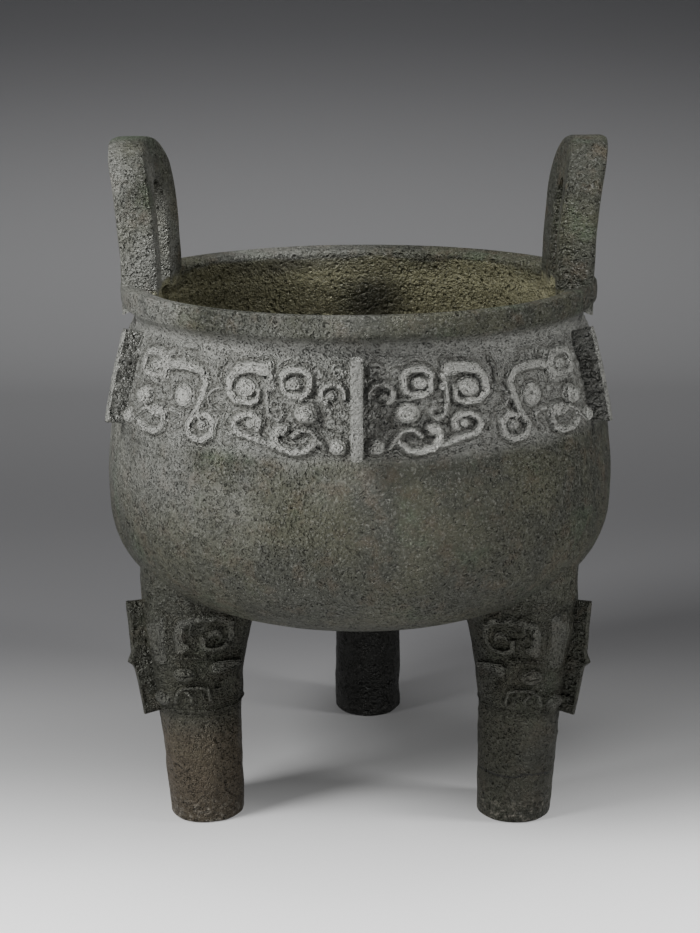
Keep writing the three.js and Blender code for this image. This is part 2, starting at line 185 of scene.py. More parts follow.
def gap_mask(s, z):
    """Half of a mask between two legs: plume, ear, two rolled horns, eye, jaw and claw."""
    c = Carving(s, z)
    ground_spirals(c, GAP_GROUND)
    c.band(swirl((21, 612), (9, 8), 0, 560, 0.2, square=3, points=26), 3.2, rise=2.6, side=1.4)
    c.band(swirl((27, 588), (14, 11), 305, 255), 7.5, 5, rise=4.2)
    c.dome((30, 586), (7, 6), 3.4)
    c.band(swirl((70, 599.5), (17.5, 15), 28, 330, 0.92, square=2.6, points=20), 9, 6.5)
    c.dome((73, 598), (10.5, 7.5), 4.2, fullness=5)
    c.band([(104, 619), (102, 602), (104, 582), (100, 563), (88, 558), (82, 566), (88, 573), (94, 568)],
           9, 5, rise=3.2)
    c.dome((100, 605), (4.5, 4.5), 4.4)
    c.dome((99, 593), (4.5, 4.5), 4.4)
    c.band([(107, 612), (125, 614), (143, 611), (153, 599), (152, 585), (143, 576.5), (124, 574.5),
            (114.5, 579), (113.5, 589)], 14, 6)
    c.dome((131, 591), (14.5, 11.5), 4.8, fullness=6)
    c.groove(swirl((131, 591), (10, 8), 20, 400, 0.25, points=20), 2.2, 1.3)
    c.band([(34, 579.5), (60, 580.5), (97, 578.5)], 4, 3, rise=3.0, side=1.6)
    c.band([(112, 547), (109, 555), (117, 561.5), (128, 562), (139, 557), (142, 548), (134, 540),
            (120, 537.5), (107, 534), (92, 530)], 8, 7, rise=4.6)
    c.dome((121, 552), (7, 6), 5.4)
    c.band([(138, 541), (150, 537), (158, 546)], 6, 3.5, rise=3.6)
    c.band([(80, 550), (89, 548), (92, 538), (84, 528), (70, 524.5), (56, 526), (46, 535)], 9, 7, rise=5.6)
    c.dome((83, 546), (6, 5.5), 5.6)
    c.band([(71, 541), (63, 548.5), (50, 547.5), (42, 539), (35, 530)], 6, 5, rise=4.8)
    c.hollow((60, 538), (10, 7.5), 2.4)
    eye(c, (56, 567), (14.5, 11.5), 13.0, 8.5)
    nose(c, (20, 531.5), (10.5, 9.5), 8.0)
    return c


def leg_mask(s, z):
    """Half of a mask over a leg: the same face, with an arched body and a curled tail behind."""
    c = Carving(s, z)
    ground_spirals(c, LEG_GROUND)
    c.band(swirl((62, 600), (24, 14), 30, 325, 0.9, square=3.2, points=20), 10, 7)
    c.dome((66, 599), (14, 7), 4.2, fullness=5)
    for k in range(6):
        c.band([(112 + 4.2 * k, 612), (112 + 4.2 * k, 621)], 2.2, rise=1.8, side=1.0)
    c.band(swirl((92, 617), (7, 5), 180, 500, 0.25, points=20), 2.6, rise=2.2, side=1.2)
    c.band([(86, 588), (90, 601), (106, 605.5), (130, 606), (150, 603), (160, 591), (156, 574),
            (151, 558), (140, 541), (146, 529), (163, 526.5), (176, 534), (177, 548), (167, 557),
            (157, 552)], 10.5, 7.5)
    c.dome((161, 543), (8, 7), 5.0)
    c.dome((127, 573), (16, 14.5), 4.6, fullness=5)
    c.groove(swirl((127, 573), (10.5, 9.5), 60, 420, 0.25, points=20), 2.2, 1.3)
    c.band([(108, 554), (127, 551.5), (126, 540), (115, 532)], 7, 5, rise=3.6)
    c.band([(181, 588), (170, 584), (163.5, 575), (170, 566), (182, 562.5)], 6, 5, rise=3.6)
    c.band([(183, 619), (177, 610), (178, 593)], 3.6, 3, rise=3.4, side=1.4)
    c.band([(34, 579.5), (60, 580.5), (84, 579)], 4, 3, rise=3.0, side=1.6)
    c.band([(80, 552), (94, 552), (101, 543), (98, 531), (85, 524.5), (66, 524), (51, 530)], 9, 7, rise=5.6)
    c.dome((88, 546), (6.5, 6), 5.6)
    c.band([(79, 544), (64, 549.5), (49, 542), (38, 530)], 6, 5, rise=4.8)
    c.hollow((66, 537), (11, 7), 2.4)
    eye(c, (56, 562), (15, 11.5), 13.0, 9)
    nose(c, (21, 531.5), (10.5, 9.5), 8.0)
    return c


# -------- the frieze
# Six sectors of the two half masks around the neck's foot, each between a flange in a gap
# between two legs and a flange over a leg. The rear is cast the same way, a little softer.
FRIEZE_BOTTOM = 523.0
FRIEZE_TOP = 625.0
CARVED_MIDDLE = 572.0
CARVED_HALF_HEIGHT = 62.0  # the masks' lines reach this far above and below the middle
FRONT_FLANGE = 269.25
SIDE_FLANGE_TURN = 66.0  # degrees from the front flange to those over the front legs
REAR_FLANGE_TURN = (SIDE_FLANGE_TURN + 180) / 2
LEG_MASK_SPAN = 188.5
GAP_MASK_SPAN = 158.0
BAND_RADIUS = 300.0  # radius at which the frieze's lengths are stated
BAND_TURNS = (0, SIDE_FLANGE_TURN, REAR_FLANGE_TURN, 180, -REAR_FLANGE_TURN, -SIDE_FLANGE_TURN)


def frieze(azimuth, z):
    """Carved height and edge distance on the frieze. Each place goes to the sector it is in, and
    there to the half mask of the nearer flange, its lengths stretched to fill the sector."""
    turn = (azimuth - FRONT_FLANGE + 180) % 360 - 180
    way = np.abs(turn)
    height = np.zeros(z.shape)
    edge = np.full(z.shape, 40.0)
    sectors = [(0, SIDE_FLANGE_TURN), (REAR_FLANGE_TURN, SIDE_FLANGE_TURN), (REAR_FLANGE_TURN, 180)]
    for gap, leg in sectors:
        length = math.radians(abs(leg - gap)) * BAND_RADIUS
        stretch = length / (GAP_MASK_SPAN + LEG_MASK_SPAN)
        in_sector = (way >= min(gap, leg)) & (way <= max(gap, leg))
        here = in_sector & (np.abs(z - CARVED_MIDDLE) < CARVED_HALF_HEIGHT)
        from_gap = np.radians(np.abs(way - gap)) * BAND_RADIUS / stretch
        for mask, s, side in ((gap_mask, from_gap, from_gap < GAP_MASK_SPAN),
                              (leg_mask, GAP_MASK_SPAN + LEG_MASK_SPAN - from_gap,
                               from_gap >= GAP_MASK_SPAN)):
            chosen = here & side
            carving = mask(s[chosen], z[chosen])
            height[chosen] = carving.height
            edge[chosen] = carving.edge
    border = np.minimum(np.abs(z - FRIEZE_TOP - 1.5), np.abs(z - FRIEZE_BOTTOM + 4))
    height = np.maximum(height, 0.8 * ease((1.8 - border) / 1.6))
    return height, edge


# -------- the rim and the bowl's mesh
# The rim is a heavy flat band turned out over the neck, cast with the wall. Its top falls a
# little to the inside, its corners are worn round, and it is not quite true.
RIM_RADIUS = 300.0
RIM_TOP = 678.0
RIM_BAND = 28.0
RIM_WIDTH = 32.0
RIM_FALL = 5.0
FRONT_STEP = 1.95  # degrees between the columns of the front half
REAR_STEP = 3.9
FINE = 4  # frieze columns for each column of the wall
FRIEZE_STEP = 2.55


def rounded(points, passes=3):
    """Corners cut off again and again: each stretch gives points at a quarter and three quarters
    of its length."""
    points = np.asarray(points, float)
    for _ in range(passes):
        early = points[:-1] * 0.75 + points[1:] * 0.25
        late = points[:-1] * 0.25 + points[1:] * 0.75
        between = np.stack([early, late], 1).reshape(-1, 2)
        points = np.concatenate([points[:1], between, points[-1:]])
    return points


def lower_belly(bottom, steps):
    """Radii and heights from the bottom's middle out to the widest place, closer together where
    the bottom turns up."""
    turn = np.linspace(0, 1, steps + 1)[1:] * math.pi / 2
    z = BELLY_WIDEST - (BELLY_WIDEST - bottom) * np.cos(turn) ** (2 / BELLY_FULLNESS)
    r = BELLY_RADIUS * np.sin(turn)
    return np.stack([r, z], 1)


def wall_profile():
    """Three runs of (radius, height): below the frieze, beside it, and over the rim down to the
    middle of the bowl's floor."""
    below = lower_belly(BELLY_BOTTOM, 26)
    z = np.arange(BELLY_WIDEST + 9, FRIEZE_BOTTOM - 7, 9.0)
    below = np.concatenate([below, np.stack([belly_radius(z), z], 1)])
    z = np.arange(FRIEZE_BOTTOM - 6, FRIEZE_TOP + 5, FRIEZE_STEP)
    beside = np.stack([belly_radius(z), z], 1)
    corner = RIM_TOP - RIM_BAND
    rim = rounded([(belly_radius(634.0), 634), (NECK_RADIUS + 2.5, corner - 5), (RIM_RADIUS - 1, corner),
                   (RIM_RADIUS, corner + 12), (RIM_RADIUS, RIM_TOP - 8), (RIM_RADIUS - 1, RIM_TOP),
                   (RIM_RADIUS - 14, RIM_TOP - 2), (RIM_RADIUS - RIM_WIDTH + 1, RIM_TOP - RIM_FALL),
                   (RIM_RADIUS - RIM_WIDTH, RIM_TOP - 15), (274, 645), (276, 628)], 2)
    z = np.arange(615, BELLY_WIDEST, -11.0)
    inner = np.stack([belly_radius(z) - WALL, z], 1)
    floor = lower_belly(BELLY_BOTTOM + WALL, 20)[::-1]
    floor[:, 0] *= (BELLY_RADIUS - WALL) / BELLY_RADIUS
    return below, beside, np.concatenate([rim, inner, floor])


def columns():
    """Azimuths of the wall's columns: close together over the front half, wider behind."""
    front = np.arange(180, 360, FRONT_STEP)
    rear = np.arange(front[-1] + FRONT_STEP, 540 - REAR_STEP / 2, REAR_STEP)
    return np.concatenate([front, rear])


def around(profile, azimuths):
    """A grid of places: each (radius, height) of the profile turned to each azimuth."""
    turn = np.radians(azimuths)
    r = np.broadcast_to(profile[:, :1], (len(profile), len(azimuths)))
    z = np.broadcast_to(profile[:, 1:], r.shape)
    return np.stack([r * np.cos(turn), r * np.sin(turn), z], 2)


def swell(grid, amount):
    """Moves each place of a grid straight out from the vessel's axis."""
    out = grid[..., :2] / np.linalg.norm(grid[..., :2], axis=2, keepdims=True)
    moved = grid.copy()
    moved[..., :2] += out * amount[..., None]
    return moved


def ring_quads(rows, sides, first=0):
    """Quads between the closed rings of a grid, facing outwards when the rings rise and turn
    from +X to +Y."""
    r, k = np.meshgrid(np.arange(rows - 1), np.arange(sides), indexing="ij")
    a = first + r * sides + k
    b = first + r * sides + (k + 1) % sides
    return np.stack([a, b, b + sides, a + sides], 2).reshape(-1, 4)


def fan(ring, middle, upwards):
    """Triangles from a ring's corners to a middle corner."""
    a, b = ring, np.roll(ring, -1)
    pairs = (a, b) if upwards else (b, a)
    return np.stack([*pairs, np.full(len(ring), middle)], 1)


def to_mesh(name, places, quads, triangles):
    """A Blender object, in metres, from places in millimetres and arrays of corner numbers."""
    mesh = bpy.data.meshes.new(name)
    faces = len(quads) + len(triangles)
    corners = np.concatenate([np.ravel(quads), np.ravel(triangles)]).astype(np.int32)
    starts = np.concatenate([np.arange(len(quads)) * 4,
                             len(quads) * 4 + np.arange(len(triangles)) * 3]).astype(np.int32)
    mesh.vertices.add(len(places))
    mesh.vertices.foreach_set("co", (np.asarray(places, np.float32) / 1000).ravel())
    mesh.loops.add(len(corners))
    mesh.loops.foreach_set("vertex_index", corners)
    mesh.polygons.add(faces)
    mesh.polygons.foreach_set("loop_start", starts)
    mesh.update(calc_edges=True)
    mesh.validate()
    piece = bpy.data.objects.new(name, mesh)
    bpy.context.scene.collection.objects.link(piece)
    return piece


def bowl():
    """The wall as one closed surface: coarse rings below and above, a fine band for the frieze,
    and rows of triangles where four fine columns meet one coarse column."""
    below, beside, above = wall_profile()
    coarse = columns()
    gaps = np.diff(np.append(coarse, coarse[0] + 360))
    fine = (coarse[:, None] + gaps[:, None] * np.arange(FINE) / FINE).ravel()
    low = around(below, coarse)
    band = around(beside, fine)
    high = around(above, coarse)
    z = band[..., 2]
    azimuth = np.broadcast_to(fine, z.shape)
    height, _ = frieze(azimuth, z)
    fade = ease((z - z.min()) / 4) * ease((z.max() - z) / 4)
    band = swell(band, height * fade)
    grids = []
    for grid in (low, band, high):
        wall = np.clip((grid[..., 2] - BELLY_BOTTOM) / 60, 0, 1)
        grids.append(swell(grid, wall * waves(grid, 150, 0.55, 5) + waves(grid, 45, 0.22, 6)))
    counts = [grid.shape[0] * grid.shape[1] for grid in grids]
    starts = np.concatenate([[0], np.cumsum(counts)])
    quads = [ring_quads(g.shape[0], g.shape[1], first) for g, first in zip(grids, starts)]
    n = len(coarse)
    k = np.arange(n)
    after = (k + 1) % n
    triangles = []
    seams = ((starts[1] - n, starts[1], True), (starts[2], starts[2] - FINE * n, False))
    for ring, fine_ring, rising in seams:
        a, b = ring + k, ring + after
        f = [fine_ring + (FINE * k + i) % (FINE * n) for i in range(FINE + 1)]
        rows = [(a, f[1], f[0]), (a, f[2], f[1]), (a, b, f[2]), (b, f[3], f[2]), (b, f[4], f[3])]
        for one, two, three in rows:
            order = (one, two, three) if rising else (one, three, two)
            triangles.append(np.stack(order, 1))
    places = np.concatenate([g.reshape(-1, 3) for g in grids] + [
        [[0, 0, BELLY_BOTTOM], [0, 0, BELLY_BOTTOM + WALL]]])
    last = starts[3]
    triangles.append(fan(np.arange(n), last, False))
    triangles.append(fan(last - n + np.arange(n), last + 1, True))
    return to_mesh("ding", places, np.concatenate(quads), np.concatenate(triangles))


ding = bowl()


# -------- flanges
# Upright fins left where the mould's pieces met, squared off and cut with a row of cells on
# each side. Six stand on the frieze and one on each leg.
FLANGE_THICKNESS = 14.0
FLANGE_DEPTH = 23.5
FLANGE_TOP = 626.0
FLANGE_BOTTOM = 516.0
FLANGE_ROOT = 5.0  # how deep a flange is let into the wall
LEG_FLANGE_THICKNESS = 12.0


def closed_rings(name, rings):
    """A closed solid from rings of corners, each ring joined to the next, its ends closed to a
    middle corner. The rings turn to the left as seen from the last one."""
    rows, sides = rings.shape[:2]
    places = np.concatenate([rings.reshape(-1, 3), rings[:1].mean(1), rings[-1:].mean(1)])
    ends = rows * sides
    triangles = np.concatenate([fan(np.arange(sides), ends, False),
                                fan(ends - sides + np.arange(sides), ends + 1, True)])
    return to_mesh(name, places, ring_quads(rows, sides), triangles)


def cells(up, out, count):
    """Depth of the pattern cut in a flange's side, 0 to 1: cross lines between the cells and a
    hooked line in each. up and out run 0 to 1 over the height and from the root to the edge."""
    place = up * count
    within = place - np.floor(place)
    cross = ease((0.09 - np.minimum(within, 1 - within)) / 0.05) * (out > 0.15)
    hook = ease((0.055 - np.abs(within - 0.52)) / 0.04) * (out > 0.3) * (out < 0.85)
    stem = ease((0.09 - np.abs(out - 0.8)) / 0.06) * (within > 0.28) * (within < 0.78)
    return np.clip(cross * 0.8 + np.maximum(hook, stem), 0, 1)


def fin(name, azimuth, inner, outer, heights, thickness, centre=(0, 0), count=3, fine=True):
    """An upright plate in the plane of an azimuth: at each height its section runs out along one
    side, round the edge and back along the other, with cells cut in both sides."""
    steps = 11 if fine else 5
    rows = len(heights)
    share = np.linspace(0, 1, steps)
    edge = np.array([0.95, 0.65, 0.0, -0.65, -0.95])
    across = np.concatenate([np.full(steps, 1.0), edge, np.full(steps, -1.0)])
    along = np.concatenate([share * 0.93, 1 - 0.03 * np.abs(edge) ** 2 * 2, share[::-1] * 0.93])
    up = np.linspace(0, 1, rows)[:, None]
    cut = cells(up, np.clip(along, 0, 1)[None], count) if fine else np.zeros((rows, len(along)))
    cut = cut * (np.abs(across) > 0.98)
    end = 1 - 0.35 * (np.abs(2 * up - 1) > 0.999)
    half = thickness / 2 * across[None] * end - np.sign(across)[None] * cut * 1.3
    r = inner[:, None] + (outer - inner)[:, None] * along[None]
    z = np.broadcast_to(heights[:, :1] + (heights[:, 1:] - heights[:, :1]) * along[None], r.shape)
    turn = math.radians(azimuth)
    rings = np.stack([centre[0] + r * math.cos(turn) + half * math.sin(turn),
                      centre[1] + r * math.sin(turn) - half * math.cos(turn), z], 2)
    rings += waves(rings, 30, 0.25, int(azimuth))[..., None] * 0.6
    return closed_rings(name, rings[:, ::-1])


def band_flange(azimuth, fine):
    """A flange on the frieze: its edge stands FLANGE_DEPTH off the wall, squarely to it."""
    rows = 48 if fine else 20
    foot = np.linspace(FLANGE_BOTTOM, FLANGE_TOP, rows)
    slope = (belly_radius(foot - 1) - belly_radius(foot + 1)) / 2
    heights = np.stack([foot, foot + FLANGE_DEPTH * slope], 1)
    inner = belly_radius(foot) - FLANGE_ROOT
    outer = belly_radius(foot) + FLANGE_DEPTH
    return fin("band_flange", azimuth, inner, outer, heights, FLANGE_THICKNESS, fine=fine)


fittings = [band_flange(FRONT_FLANGE + turn, abs(turn) <= SIDE_FLANGE_TURN) for turn in BAND_TURNS]


# -------- handles
# Two upright loops of thick flat bronze that stand on the rim, a little bowed in plan to follow
# it and leaning out at the top, with a corbel under each foot inside the mouth.
HANDLE_TOP = 851.0
HANDLE_FOOT = 640.0
HANDLE_HALF_WIDTH = 95.0
HANDLE_THICKNESS = 46.5
HANDLE_INSIDE = 246.0  # axis to the handle's inner face, at the rim
HANDLE_LEAN = 16.5
HANDLE_BOW = 700.0  # radius of its curve in plan
HANDLE_SHOULDER = 76.0  # height of the rounded top part
HANDLE_SQUARENESS = 2.5
HANDLE_SECTION_SQUARENESS = 9  # 2 would make its section an oval
SLOT_HALF_WIDTH = 31.0
SLOT_TOP = 797.0
CORBEL = 24.0
HANDLE_AZIMUTHS = (175.8, 359.5)


def arch(half_width, top, shoulder, squareness, straight, turned):
    """One edge of the loop from foot to foot: straight up, over a squared round arch, and down."""
    spring = top - shoulder
    rise = np.linspace(HANDLE_FOOT, spring, straight, endpoint=False)
    turn = np.linspace(math.pi, 0, turned)
    power = 2 / squareness
    over = np.stack([half_width * np.sign(np.cos(turn)) * np.abs(np.cos(turn)) ** power,
                     spring + shoulder * np.abs(np.sin(turn)) ** power], 1)
    up = np.stack([np.full(straight, -half_width), rise], 1)
    down = np.stack([np.full(straight, half_width), rise[::-1]], 1)
    return np.concatenate([up, over, down])


def set_handle(flat, azimuth):
    """Bends and leans a flat loop into place. flat holds (across, height, depth)."""
    across, height, depth = np.moveaxis(flat, -1, 0)
    rise = np.clip(height - RIM_TOP, 0, None) / (HANDLE_TOP - RIM_TOP)
    out = HANDLE_INSIDE + depth + HANDLE_LEAN * rise ** 2 - across ** 2 / (2 * HANDLE_BOW)
    lift = np.where(height < RIM_TOP - RIM_BAND, CORBEL * (1 - depth / HANDLE_THICKNESS), 0)
    turn = math.radians(azimuth)
    placed = np.stack([out * math.cos(turn) - across * math.sin(turn),
                       out * math.sin(turn) + across * math.cos(turn), height + lift], -1)
    return placed + waves(placed, 40, 0.35, 11)[..., None] * 0.6


def handle(azimuth):
    """The loop: a rounded rectangular section carried along the arch between its two edges."""
    straight, turned = 16, 33
    outer = arch(HANDLE_HALF_WIDTH, HANDLE_TOP, HANDLE_SHOULDER, HANDLE_SQUARENESS, straight, turned)
    inner = arch(SLOT_HALF_WIDTH, SLOT_TOP, SLOT_HALF_WIDTH, 2.0, straight, turned)
    turn = np.linspace(0, 2 * math.pi, 40, endpoint=False)
    power = HANDLE_SECTION_SQUARENESS
    corner = (np.abs(np.cos(turn)) ** power + np.abs(np.sin(turn)) ** power) ** (-1 / power)
    share = (1 + corner * np.cos(turn)) / 2
    depth = HANDLE_THICKNESS * (1 + corner * np.sin(turn)) / 2
    flat = np.empty((len(outer), len(turn), 3))
    flat[..., :2] = inner[:, None] + (outer - inner)[:, None] * share[None, :, None]
    flat[..., 2] = depth
    return closed_rings("handle", set_handle(flat, azimuth))


def corbel(azimuth):
    """The block that fills the loop's foot below the rim's top."""
    across = np.linspace(-SLOT_HALF_WIDTH - 8, SLOT_HALF_WIDTH + 8, 9)
    section = np.array([(HANDLE_FOOT, 2), (HANDLE_FOOT, 44), (668, 44), (671, 40), (671, 4), (668, 2)])
    flat = np.empty((len(across), len(section), 3))
    flat[..., 0] = across[:, None]
    flat[..., 1:] = section[None]
    return closed_rings("corbel", set_handle(flat, azimuth)[:, ::-1])


fittings += [make(azimuth) for azimuth in HANDLE_AZIMUTHS for make in (handle, corbel)]


# -------- legs
# Three column legs cast with the bowl. The upper half of each carries a mask with a flange for
# its nose ridge, and the lower half is plain, with raised rings round the right one.
LEG_OUTSIDE = 278.0
LEG_SPLAY = 0.081
LEG_INSIDE = 184.0
LEG_HALF_WIDTH = 47.0
LEG_FLARE_FROM = 130.0
LEG_FLARE_RISE = 140.0
LEG_FLARE = 20.0
LEG_SHOULDER = 9.0
LEG_WIDENING = 10.0
LEG_ROOT = 307.0
LEG_HEIGHT = 345.0
LEG_MASK_BOTTOM = 152.0
LEG_MASK_TOP = 310.0
LEG_CARVED_REACH = 75.0  # no carving stands farther than this from a leg's axis
LEG_FLANGE_ROWS = 60
LEG_FLANGE_TOP = 294.0
LEG_FLANGE_ROOT = 44.0
LEGS = (
    {"azimuth": 210.0, "facing": 198.0, "lift": 0.0, "lines": ()},
    {"azimuth": 328.3, "facing": 337.0, "lift": -5.0, "lines": (154.0, 134.0, 114.0, 93.0)},
    {"azimuth": 87.0, "facing": 87.0, "lift": 0.0, "lines": ()},
)
BACK_LEG = LEGS[2]


def leg_section(z):
    """Centre from the vessel's axis, half depth and half width of a leg's oval at each height."""
    flare = (np.clip(z - LEG_FLARE_FROM, 0, None) / LEG_FLARE_RISE) ** 2
    outside = np.minimum(LEG_OUTSIDE + LEG_SPLAY * z + LEG_SHOULDER * flare, LEG_ROOT)
    inside = LEG_INSIDE - LEG_FLARE * flare
    return (outside + inside) / 2, (outside - inside) / 2, LEG_HALF_WIDTH + LEG_WIDENING * flare


def leg_reach(z, from_axis):
    """The oval's centre and how far its edge is from there in each direction, at each height."""
    centre, radial, flank = leg_section(z)
    return centre, 1 / np.hypot(np.cos(from_axis) / radial, np.sin(from_axis) / flank)


def wall_height(r):
    """Height of the middle of the bowl's wall at a distance from the axis, where a leg ends."""
    depth = (1 - np.clip(r / BELLY_RADIUS, 0, 1) ** 2) ** (1 / BELLY_FULLNESS)
    return BELLY_WIDEST - (BELLY_WIDEST - BELLY_BOTTOM) * depth + WALL / 2


def leg_face(s, z):
    """Half of the mask on a leg: forehead, square horn, eye, ear, nose and open jaw."""
    c = Carving(s, z)
    c.band([(23, 226), (23, 284)], 20, rise=2.6)
    for line in (17, 23, 29):
        c.groove([(line, 232), (line, 278)], 2.0, 1.0)
    c.band([(46, 240), (44.5, 262), (47, 277), (58, 282), (84, 280), (95, 271), (97, 252), (91, 241),
            (78, 238.5), (68, 243), (67, 256)], 9, 6.5, rise=4.4)
    c.band([(55, 277), (55, 262), (59, 256)], 6, 4, rise=2.6)
    c.dome((50, 245), (6, 7), 4.4)
    c.dome((80, 256), (9, 12), 3.6, fullness=5)
    c.hollow((79, 251), (7.5, 8), 4.5)
    c.band([(36, 229), (54, 230), (72, 229.5)], 4.5, 3, rise=3.6, side=1.6)
    c.band([(84, 214), (96, 214), (113, 211)], 20, 12, rise=3.8)
    c.groove([(88, 208), (108, 210)], 2.4, 1.4)
    c.hollow((102, 228), (14, 5.5), 5.0)
    c.band([(36, 168), (39, 181), (47, 189), (62, 190), (73, 186), (75, 170)], 5.5, rise=4.2)
    c.hollow((57, 179), (15, 9), 3.6)
    c.band([(50, 183), (55, 176), (53, 167)], 5.5, 4, rise=4.6)
    c.band([(66, 182), (69, 170)], 5, 3.5, rise=3.8)
    c.band(swirl((87, 190), (8, 7), 90, 500, 0.2, square=4, points=22), 3, rise=2.4, side=1.2)
    c.band([(0, 155), (60, 156), (150, 154)], 4, rise=1.6, side=1.6)
    c.band([(20, 306), (45, 299), (70, 295), (120, 291)], 3.5, rise=1.8, side=1.6)
    eye(c, (48, 208), (12, 11), 10.0, 6.5)
    nose(c, (21, 171), (11.5, 10.5), 10.0)
    return c


def leg_relief(s, z, leg):
    """Carving on a leg at places given by the length s round it from its flange and the height,
    with the mask zone standing a little proud of the plain column."""
    face = leg_face(np.abs(s), z - leg["lift"])
    soft = 0.75 if leg is BACK_LEG else 1.0
    zone = ease((z - LEG_MASK_BOTTOM) / 3)
    height = face.height * soft * ease((z - 148) / 6) + 1.4 * zone
    for line in leg["lines"]:
        height = height + 0.9 * ease((1.7 - np.abs(z - line)) / 1.4)
    return height, face.edge


def leg(place):
    """The column: rings of an oval section about a centre that moves with the height, each
    place moved out by the carving, with a worn, uneven foot. It ends within the bowl's wall: a
    column's top is found by turns, its height giving its place and its place the wall's height."""
    back = place is BACK_LEG
    sides = 84 if back else 140
    plain = np.concatenate([[0, 0.6, 2.5], np.arange(8, 146, 7.5)])
    carved = np.arange(148, 306, 3.0 if back else 1.95)
    z = np.concatenate([plain, carved, np.arange(312, LEG_HEIGHT, 8.0), [LEG_HEIGHT]])[:, None]
    turn = np.linspace(0, 2 * math.pi, sides, endpoint=False)[None]
    s = LEG_HALF_WIDTH * ((turn + math.pi) % (2 * math.pi) - math.pi)
    from_axis = turn + math.radians(place["facing"] - place["azimuth"])
    top = np.full((1, sides), 300.0)
    for _ in range(12):
        centre, reach = leg_reach(top, from_axis)
        top = wall_height(np.hypot(centre + reach * np.cos(from_axis), reach * np.sin(from_axis)))
    above = np.clip(z - LEG_FLARE_FROM, 0, None) / (LEG_HEIGHT - LEG_FLARE_FROM)
    z = np.where(above > 0, LEG_FLARE_FROM + above * (top - LEG_FLARE_FROM), z)
    centre, reach = leg_reach(z, from_axis)
    height, _ = leg_relief(np.broadcast_to(s, reach.shape), np.broadcast_to(z, reach.shape), place)
    foot_edge = -2.6 * ease((2.5 - z) / 2.5)
    reach = reach + height + foot_edge
    heading = turn + math.radians(place["facing"])
    axis = math.radians(place["azimuth"])
    rings = np.stack([centre * math.cos(axis) + reach * np.cos(heading),
                      centre * math.sin(axis) + reach * np.sin(heading),
                      np.broadcast_to(z, reach.shape)], 2)
    bumps = waves(rings, 38, 0.5, 21) + waves(rings, 14, 0.18, 22)
    rings[..., 0] += bumps * np.cos(heading)
    rings[..., 1] += bumps * np.sin(heading)
    middle = rings[-1].mean(0)
    crown = middle + (rings[-1] - middle) * np.array([0.75, 0.5, 0.25, 0.05])[:, None, None]
    crown[..., 2] = wall_height(np.hypot(crown[..., 0], crown[..., 1]))
    return closed_rings("leg", np.concatenate([rings, crown]))


# The outline of a leg's flange, measured from the leg's axis: reach and height up its edge.
LEG_FLANGE_EDGE = ((143, 73), (165, 77), (203, 83), (209, 85), (215, 92), (221, 89), (227, 87), (294, 91))


def leg_flange(place):
    """The flange down a leg's mask, with a small hook on its edge."""
    centre = float(leg_section(np.array(LEG_MASK_BOTTOM))[0])
    axis = math.radians(place["azimuth"])
    foot = np.linspace(LEG_MASK_BOTTOM - 5, LEG_FLANGE_TOP, LEG_FLANGE_ROWS)
    edge_z, edge_r = np.array(LEG_FLANGE_EDGE, float).T
    tip = np.linspace(edge_z[0], LEG_FLANGE_TOP, LEG_FLANGE_ROWS)
    outer = np.interp(tip, edge_z, edge_r)
    inner = np.full(LEG_FLANGE_ROWS, LEG_FLANGE_ROOT)
    return fin("leg_flange", place["facing"], inner, outer, np.stack([foot, tip], 1), LEG_FLANGE_THICKNESS,
               centre=(centre * math.cos(axis), centre * math.sin(axis)), fine=place is not BACK_LEG)


fittings += [make(place) for place in LEGS for make in (leg, leg_flange)]


# -------- the casting
# All of it was poured in one go, so the fittings are joined into the wall as one surface. The
# joined surface then gets the values its patina follows: carving, hollows and the bowl's inside.
def cast_together(body, parts):
    """Joins the parts into the body as one closed surface and removes them."""
    for part in parts:
        join = body.modifiers.new(part.name, "BOOLEAN")
        join.operation = "UNION"
        join.solver = "MANIFOLD"
        join.object = part
    view = bpy.context.evaluated_depsgraph_get()
    joined = bpy.data.meshes.new_from_object(body.evaluated_get(view))
    body.modifiers.clear()
    body.data = joined
    for part in parts:
        bpy.data.objects.remove(part)


def keep_value(mesh, name, values):
    """Stores one number at each corner of the mesh for the material to read."""
    layer = mesh.attributes.new(name, "FLOAT", "POINT")
    layer.data.foreach_set("value", np.asarray(values, np.float32))


def surface_values(mesh):
    """Works out the carving, its edges and the bowl's inside again from where each corner is."""
    places = np.empty(len(mesh.vertices) * 3, np.float32)
    mesh.vertices.foreach_get("co", places)
    x, y, z = places.reshape(-1, 3).T.astype(float) * 1000
    r = np.hypot(x, y)
    height = np.zeros(len(z))
    edge = np.full(len(z), 40.0)
    wall = belly_radius(z)
    on_band = (r > wall - 4) & (r < wall + 15) & (z > FRIEZE_BOTTOM - 6) & (z < FRIEZE_TOP + 5)
    height[on_band], edge[on_band] = frieze(np.degrees(np.arctan2(y, x))[on_band], z[on_band])
    for place in LEGS:
        centre = leg_section(z)[0]
        axis = math.radians(place["azimuth"])
        from_x, from_y = x - centre * math.cos(axis), y - centre * math.sin(axis)
        on_leg = (np.hypot(from_x, from_y) < LEG_CARVED_REACH) & (r < LEG_ROOT + 12)
        near = on_leg & (z > LEG_MASK_BOTTOM - 5) & (z < LEG_MASK_TOP)
        turn = np.arctan2(from_y, from_x) - math.radians(place["facing"])
        s = LEG_HALF_WIDTH * ((turn + math.pi) % (2 * math.pi) - math.pi)
        height[near], edge[near] = leg_relief(s[near], z[near], place)
    inside = (r < wall - WALL / 2) & (z > BELLY_BOTTOM + WALL / 2) & (z < RIM_TOP - RIM_FALL - 4)
    keep_value(mesh, "carved_height", height)
    keep_value(mesh, "carved_edge", np.clip(edge, -12, 14))
    keep_value(mesh, "bowl_inside", ease((wall - 3 - r) / 4) * inside)


